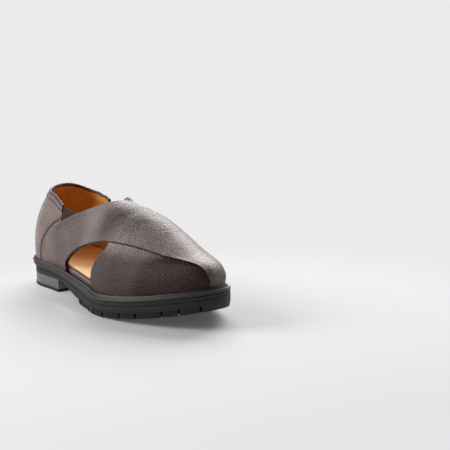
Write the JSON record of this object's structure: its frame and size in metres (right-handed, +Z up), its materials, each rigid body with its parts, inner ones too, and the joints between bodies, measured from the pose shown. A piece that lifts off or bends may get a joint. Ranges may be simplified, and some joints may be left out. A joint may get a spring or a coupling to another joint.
{
  "type": "peshawari chappal",
  "caption": "A dark brown leather peshawari chappal with two broad crossed straps, a back quarter, elastic gores, tan lining and insole, a ribbed welt and a black lugged rubber sole",
  "frame": {"origin": "centre of the bounding box in plan, on the floor under the sole", "axes": "+X to the toe, along the length of the sole; +Y to the medial side of this right shoe; +Z up, away from the floor"},
  "size_m": [0.3, 0.1094, 0.107],
  "materials": {
    "leather": "semi-gloss pebbled",
    "tan_leather": "satin",
    "elastic": "ribbed matt",
    "welt_rubber": "ribbed satin",
    "rubber": "matt"
  },
  "bodies": {
    "root": {"upper": "leather", "gore_lateral": "elastic", "gore_medial": "elastic", "insole": "tan_leather", "footbed": "leather", "welt": "welt_rubber", "midsole": "rubber", "outsole": "rubber", "heel": "rubber", "top_lift": "rubber"}
  },
  "joints": []
}
